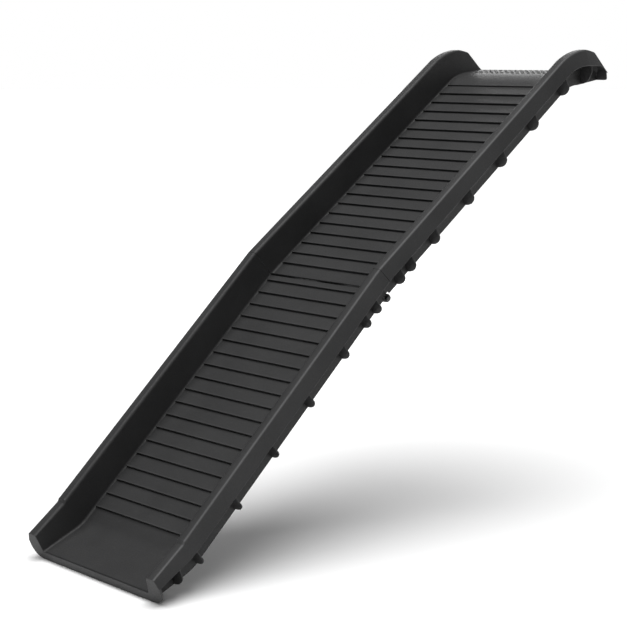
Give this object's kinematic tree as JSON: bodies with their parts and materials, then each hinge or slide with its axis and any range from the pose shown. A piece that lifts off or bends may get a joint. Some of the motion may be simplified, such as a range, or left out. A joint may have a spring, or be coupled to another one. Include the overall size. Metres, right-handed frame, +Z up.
{
  "type": "dog ramp",
  "caption": "Folding pet ramp: two moulded halves with stepped treads and raised side rails, hinged under the deck on a steel rod, with rubber grip pads under the foot and landing.",
  "frame": {"origin": "on the floor, under the middle of the leaning ramp's outline", "axes": "+X across the ramp, +Y along the ground from the foot towards the landing, +Z up"},
  "size_m": [0.398, 1.2918, 0.9577],
  "materials": {
    "moulded_plastic": "fine pebble grain, black polypropylene",
    "cap_plastic": "smooth black nylon",
    "rubber": "matt, ribbed",
    "steel": "zinc plated"
  },
  "bodies": {
    "upper_half": {"upper_panel": "moulded_plastic", "hinge_rod": "steel", "rod_cap_left": "cap_plastic", "rod_cap_right": "cap_plastic", "landing_pad_left": "rubber", "landing_pad_right": "rubber", "landing_pad_screw_left_1": "steel", "landing_pad_screw_left_2": "steel", "landing_pad_screw_right_1": "steel", "landing_pad_screw_right_2": "steel"},
    "lower_half": {"lower_panel": "moulded_plastic", "foot_pad_left": "rubber", "foot_pad_right": "rubber", "foot_pad_screw_left_1": "steel", "foot_pad_screw_left_2": "steel", "foot_pad_screw_right_1": "steel", "foot_pad_screw_right_2": "steel"}
  },
  "joints": [
    {"name": "fold_hinge", "type": "hinge", "parent": "upper_half", "child": "lower_half", "pos_m": [0, -0.03104, 0.47456], "axis": [1, 0, 0], "range_deg": [0, 173]}
  ]
}
